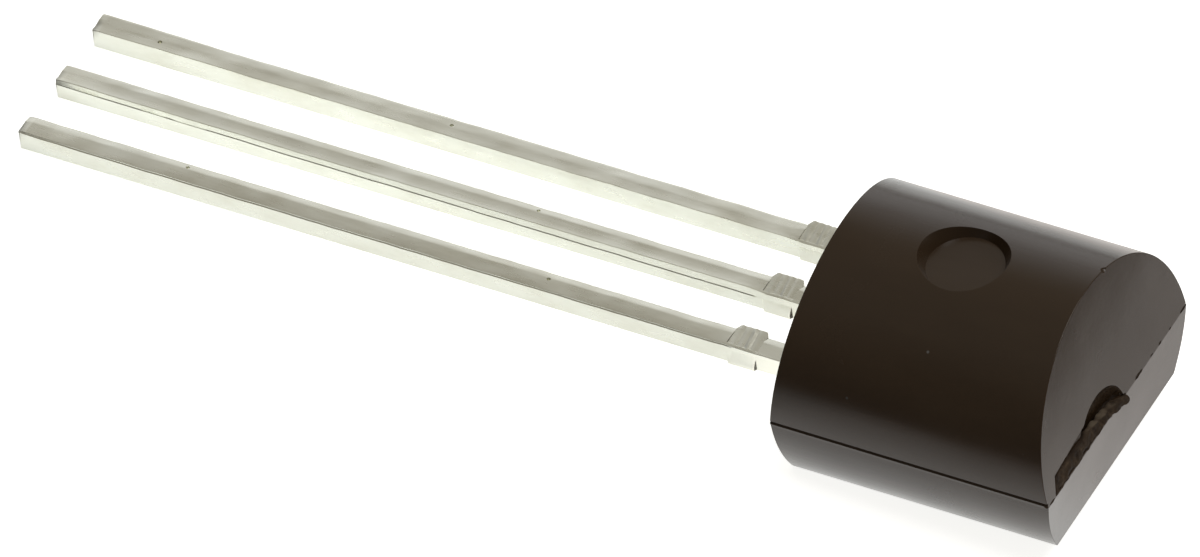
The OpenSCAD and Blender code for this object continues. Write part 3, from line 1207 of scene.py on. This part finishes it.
# %% [markdown]
# The room is bright low down behind the part, dimmer and warmer overhead, and dim on the camera's side
# and at the far left. That is what draws the pale edge along the far side of the case, leaves its near
# side dark, and darkens the rolled ends of the leads. One ramp runs over the direction away from the
# camera, and another over the direction to the left. A wide soft lamp overhead fills in the colours.

# %% Colour the room
ROOM = (
    (-1.0, 0.06), (-0.55, 0.10), (-0.45, 0.15), (-0.32, 0.22), (-0.14, 0.30), (0.27, 0.29), (0.48, 0.27),
    (0.67, 0.32), (0.82, 0.65), (0.93, 0.90), (1.0, 0.97),
)
LEFT = ((-1.0, 0.15), (-0.75, 0.25), (-0.52, 1.0))
WARM = (1.0, 0.94, 0.80)
WARM_BELOW, WHITE_ABOVE = 0.35, 0.75

scene = bpy.context.scene
world = bpy.data.worlds.new("white_room")
scene.world = world
world.use_nodes = True
tree = world.node_tree
direction = tree.nodes.new("ShaderNodeTexCoord")


def room_ramp(towards, stops):
    """A ramp of colours over the cosine between the view direction and a set direction."""
    facing = tree.nodes.new("ShaderNodeVectorMath")
    facing.operation = "DOT_PRODUCT"
    facing.inputs[1].default_value = towards
    tree.links.new(direction.outputs["Generated"], facing.inputs[0])
    share = tree.nodes.new("ShaderNodeMapRange")
    share.inputs["From Min"].default_value = -1
    tree.links.new(facing.outputs["Value"], share.inputs["Value"])
    ramp = tree.nodes.new("ShaderNodeValToRGB")
    elements = ramp.color_ramp.elements
    while len(elements) < len(stops):
        elements.new(0.5)
    for element, (cosine, colour) in zip(elements, stops):
        element.position = (cosine + 1) / 2
        element.color = (*colour, 1)
    tree.links.new(share.outputs["Result"], ramp.inputs["Fac"])
    return ramp.outputs["Color"]


def warmed(level):
    """A light level as a colour, warm where it is low and white where it is high."""
    white = min(max((level - WARM_BELOW) / (WHITE_ABOVE - WARM_BELOW), 0), 1)
    return [level * (w + (1 - w) * white) for w in WARM]


def mix_colours(kind, factor, first, second):
    """Mix two colours in the room's nodes."""
    node = tree.nodes.new("ShaderNodeMix")
    node.data_type = "RGBA"
    node.blend_type = kind
    for name, value in (("Factor", factor), ("A", first), ("B", second)):
        if isinstance(value, bpy.types.NodeSocket):
            tree.links.new(value, node.inputs[name])
        else:
            node.inputs[name].default_value = value
    return node.outputs["Result"]


away_from_camera = Vector((-towards_camera.x, -towards_camera.y, 0)).normalized()
behind = room_ramp(away_from_camera, [(cosine, warmed(level)) for cosine, level in ROOM])
left = room_ramp((1, 0, 0), [(cosine, grey(level)) for cosine, level in LEFT])
lit = mix_colours("MULTIPLY", 1.0, behind, left)
path = tree.nodes.new("ShaderNodeLightPath")
shown = mix_colours("MIX", path.outputs["Is Camera Ray"], lit, (1, 1, 1, 1))
tree.links.new(shown, tree.nodes["Background"].inputs["Color"])
print("room coloured")

# %% Hang the lamp
LAMP_DIRECTION = Vector((0.35, 0.15, 0.92)).normalized()
LAMP_DISTANCE = 0.5
LAMP_SIZE = 0.35
LAMP_POWER = 1.3

lamp_data = bpy.data.lights.new("soft_lamp", "AREA")
lamp_data.size = LAMP_SIZE
lamp_data.energy = LAMP_POWER
lamp = bpy.data.objects.new("soft_lamp", lamp_data)
bpy.context.collection.objects.link(lamp)
lamp.location = LAMP_DIRECTION * LAMP_DISTANCE
lamp.rotation_euler = LAMP_DIRECTION.to_track_quat("Z", "Y").to_euler()
scene.view_settings.view_transform = "Standard"
print(f"lamp hung {LAMP_DISTANCE} m away")
